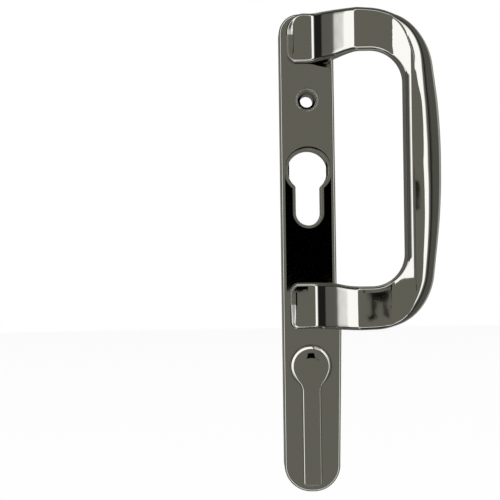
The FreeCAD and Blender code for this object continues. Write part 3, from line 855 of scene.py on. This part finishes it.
def lever_rim(line):
    """Lever's front edge: on the head a shallow dome, a bevel of 42 degrees and a tight round, on the tail a
    narrow roll only. Each row is the line moved in, lowered by the sum of the slopes passed so far."""
    points, outward = line
    head = smooth(points[:, 1] - LEVER_Z, -10.0, -4.0)
    out = HEAD_RIM[:, None] * head + TAIL_RIM[:, None] * (1 - head)
    lean = RIM_ANGLE[:, None] * (1 + 0 * head)
    slope = np.tan((lean[1:] + lean[:-1]) / 2)
    drop = np.concatenate([0 * out[:1], np.cumsum(np.diff(out, axis=0) * slope, axis=0)])
    x = points[:, 0] + outward[:, 0] * out
    z = points[:, 1] + outward[:, 1] * out
    place = np.stack([x, LEVER_FRONT + drop, z], -1)
    normal = np.stack([outward[:, 0] * np.sin(lean), -np.cos(lean), outward[:, 1] * np.sin(lean)], -1)
    return place, normal


lever_line = keyhole(HEAD_RADIUS, HALF_TAIL, -TAIL_REACH + TAIL_CORNER, LEVER_NECK, TAIL_CORNER, LEVER_Z,
                     step=0.6, turn=3.0)
rim_place, rim_normal = lever_rim(lever_line)
wall_end = np.insert(lever_line[0], 1, BACK_START, axis=1)
wall_place = rim_place[-1] + np.linspace(0, 1, 4)[:, None, None] * (wall_end - rim_place[-1])
wall_normal = np.broadcast_to(rim_normal[-1], wall_place.shape)
back_profile = plain_profile([(0, BACK_START, 0), (0, LEVER_BACK, BACK_ROUND), (-BACK_INSET, LEVER_BACK, 0)])
hub_ring = ring_line(LEVER_Z)
hub_profile = plain_profile([
    (HUB_RADIUS, LEVER_BACK, 0), (HUB_RADIUS, HUB_SHOULDER, 0.05), (HUB_END_RADIUS, HUB_SHOULDER, 0.05),
    (HUB_END_RADIUS, HUB_END, SMALL_ROUND), (HUB_END_INSIDE, HUB_END, 0)])
socket_line = bend([
    (-SOCKET_HALF, LEVER_Z + SOCKET_HALF, SOCKET_CORNER),
    (-SOCKET_HALF, LEVER_Z - SOCKET_HALF, SOCKET_CORNER),
    (SOCKET_HALF, LEVER_Z - SOCKET_HALF, SOCKET_CORNER),
    (SOCKET_HALF, LEVER_Z + SOCKET_HALF, SOCKET_CORNER),
], step=2.0, turn=45)
socket_wall = (np.array([[0, HUB_END], [0, SOCKET_FLOOR]]), np.array([[-1.0, 0], [-1.0, 0]]))

lever_parts = []
add(grid_part(rim_place, rim_normal, True), POLISHED, lever_parts)
add(flat_part([rim_place[0][:, [0, 2]]], LEVER_FRONT, -1), POLISHED, lever_parts)
add(grid_part(wall_place, wall_normal, True), POLISHED, lever_parts)
add(carried(lever_line, back_profile), POLISHED, lever_parts)
add(flat_part([moved_out(lever_line, -BACK_INSET), moved_out(hub_ring, HUB_RADIUS)], LEVER_BACK, 1),
    POLISHED, lever_parts)
add(carried(hub_ring, hub_profile), AS_CAST, lever_parts)
add(flat_part([moved_out(hub_ring, HUB_END_INSIDE), socket_line[0]], HUB_END, 1), AS_CAST, lever_parts)
add(carried(socket_line, socket_wall), AS_CAST, lever_parts)
add(flat_part([socket_line[0]], SOCKET_FLOOR, 1), AS_CAST, lever_parts)
lever = make_piece("lever_body", lever_parts, [chrome, plated_cast])
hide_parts("lock_lever")
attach(lever, "lever")


# Bush of the lever: turned natural nylon, waxy and faintly mottled, set in the plate's bore
# with its flange behind the bore's boss
def dress(material, *names):
    """Gives pieces that are shown as they come from the frame their material."""
    for name in names:
        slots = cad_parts[name].data.materials
        slots.clear()
        slots.append(material)


nylon, tree, shader = new_material("turned_natural_nylon", "#e4dfd0", IOR=1.53)
mottle = noise(tree, object_place(tree), 3.0, Detail=4.0)
tint_by(tree, shader, mottle, "#ddd6c2", "#ebe7db")
dull_by(tree, shader, mottle, 0.38, 0.55)
dress(nylon, "lever_bush")


# Spring washer and retaining ring: blued spring steel, oiled, with a patchy oxide film. The washer lies
# round the hub behind the bush, and the ring sits in the hub's groove.
blued, tree, shader = new_material("oiled_spring_steel", "#6d6e72", Metallic=1.0)
film = noise(tree, object_place(tree), 2.5, Detail=5.0)
tint_by(tree, shader, film, "#57595f", "#85817a")
dull_by(tree, shader, film, 0.22, 0.42)
dress(blued, "spring_washer", "retaining_ring")


# Stop disc and square spindle: mild steel, zinc plated, its drawn lines showing through the plating.
# The disc is pressed from sheet, the spindle cut from square bar.
DRAWN_LINE = 0.35
zinc, tree, shader = new_material("bright_zinc_plated_steel", "#c3c5c6", Metallic=1.0)
place = object_place(tree)
stretched = node(tree, "ShaderNodeMapping", {"Vector": place}, Scale=(1.0, 0.04, 1.0)).outputs["Vector"]
bloom = noise(tree, place, 5.0, Detail=4.0)
tint_by(tree, shader, bloom, "#b4babf", "#cfcbc2")
dull_by(tree, shader, bloom, 0.24, 0.4)
bump_by(tree, shader, noise(tree, stretched, DRAWN_LINE, Detail=3.0), 0.25, 0.0001)
dress(zinc, "stop_disc", "lock_spindle")


# Studio: a grey cloth in front with the camera and its stand in it, white cloth round the sides and a dim
# room behind, all seen only by the mirrors, and a pale floor below in a white world
def glow(name, colour, strength=1.0):
    """Material that only gives off light."""
    material, tree, shader = new_material(name)
    tree.nodes.remove(shader)
    light = node(tree, "ShaderNodeEmission", Strength=strength)
    light.inputs["Color"].default_value = linear(colour)
    tree.links.new(light.outputs[0], tree.nodes["Material Output"].inputs["Surface"])
    return material


def stage_mesh(name, points, faces, material):
    """Stage object from points in millimetres."""
    mesh = bpy.data.meshes.new(name)
    mesh.from_pydata([tuple(float(c) * MM for c in p) for p in points], [], faces)
    mesh.materials.append(material)
    made = bpy.data.objects.new(name, mesh)
    bpy.context.scene.collection.objects.link(made)
    return made


def mirrored_only(name, points, faces, material):
    """Stage object that only mirrors show."""
    made = stage_mesh(name, points, faces, material)
    made.visible_camera = False
    made.visible_diffuse = False
    made.visible_shadow = False
    made.visible_transmission = False


CAMERA_PLANE = PLATE_FRONT - CAMERA_DISTANCE
TENT_RADIUS = 1480.0
TENT_START = CAMERA_PLANE - 30
TENT_LENGTH = 3200.0
TENT_SIDES = 64
WHITE_STRENGTH = 1.7
DIM_BLUE = 0.9

angle = np.linspace(0, 2 * np.pi, TENT_SIDES, endpoint=False)
rim = np.stack([np.cos(angle) * TENT_RADIUS, 0 * angle, np.sin(angle) * TENT_RADIUS], 1)
disc = [tuple(range(TENT_SIDES))]
mirrored_only("grey_front_cloth", rim + [0, TENT_START, 0], disc, glow("grey_cloth", "#7c7b72"))

cloth = glow("tent_cloth", "#ffffff", WHITE_STRENGTH)
tree = cloth.node_tree
depth = node(tree, "ShaderNodeSeparateXYZ", {"Vector": object_place(tree)}).outputs["Y"]
along_tent = node(tree, "ShaderNodeMapRange", {"Value": depth},
                  From_Min=TENT_START * MM, From_Max=(TENT_START + TENT_LENGTH) * MM)
# Angle off the front at which the handle sees the cloth, with its linear grey: white beside the front cloth,
# a dim gap before the dark room, and a pale strip at its far side
BANDS = [(70.0, 1.0), (82.0, 1.0), (88.0, 0.19), (94.0, 0.13), (97.0, 0.02), (102.0, 0.02), (106.0, 0.12),
         (120.0, 0.12), (126.0, 0.50), (142.0, 0.42), (148.0, 0.13)]
SEEN_FROM = -20.0
ramp_node = node(tree, "ShaderNodeValToRGB", {"Fac": along_tent.outputs["Result"]})
ramp = ramp_node.color_ramp
while len(ramp.elements) < len(BANDS):
    ramp.elements.new(0.5)
for stop, (angle_off, grey) in zip(ramp.elements, BANDS):
    reach = TENT_RADIUS * np.tan(np.radians(angle_off - 90.0)) + SEEN_FROM
    stop.position = min(max((reach - TENT_START) / TENT_LENGTH, 0.0), 1.0)
    if grey == 1:
        stop.color = (1, 1, 1, 1)
    else:
        value = grey / WHITE_STRENGTH
        stop.color = (value, value, value * DIM_BLUE, 1)
tree.links.new(ramp_node.outputs["Color"], tree.nodes["Emission"].inputs["Color"])
tent = np.concatenate([rim + [0, TENT_START, 0], rim + [0, TENT_START + TENT_LENGTH, 0]])
sides = [(i, (i + 1) % TENT_SIDES, TENT_SIDES + (i + 1) % TENT_SIDES, TENT_SIDES + i)
         for i in range(TENT_SIDES)]
mirrored_only("tent", tent, sides, cloth)
mirrored_only("dark_room", rim + [0, TENT_START + TENT_LENGTH - 1, 0], disc, glow("dark_room", "#656560"))

# Upright black cards that face the handle: how far behind the camera's plane, x from and to, z from and to
CARDS = {
    "camera_body": (10, -16, 64, CAMERA_Z - 37, CAMERA_Z + 66),
    "camera_strap": (12, 113, 118, -3, 21),
    "stand_head": (12, 76, 94, -80, -70),
    "left_leg": (12, 77, 81, -97, -79),
    "right_leg": (12, 88, 92, -95, -79),
}
black = glow("black_gear", "#000000", 0.0)
for name, (behind, left, right, low, high) in CARDS.items():
    y = CAMERA_PLANE - behind
    corners = [(left, y, low), (right, y, low), (right, y, high), (left, y, high)]
    mirrored_only(name, corners, [(0, 1, 2, 3)], black)

FLOOR = -300.0
FLOOR_REACH = 3000.0
pale, tree, shader = new_material("pale_floor", "#e8e8e8", Roughness=0.9, Emission_Strength=0.2)
shader.inputs["Emission Color"].default_value = (1, 1, 1, 1)
floor = stage_mesh("floor", [(x * FLOOR_REACH, y * FLOOR_REACH, FLOOR)
                             for x, y in ((-1, -1), (1, -1), (1, 1), (-1, 1))], [(0, 1, 2, 3)], pale)
floor.visible_glossy = False

world = bpy.data.worlds.new("studio")
world.use_nodes = True
background = world.node_tree.nodes["Background"]
background.inputs["Color"].default_value = (1, 1, 1, 1)
background.inputs["Strength"].default_value = 1.0
bpy.context.scene.world = world
bpy.context.scene.view_settings.view_transform = "Standard"
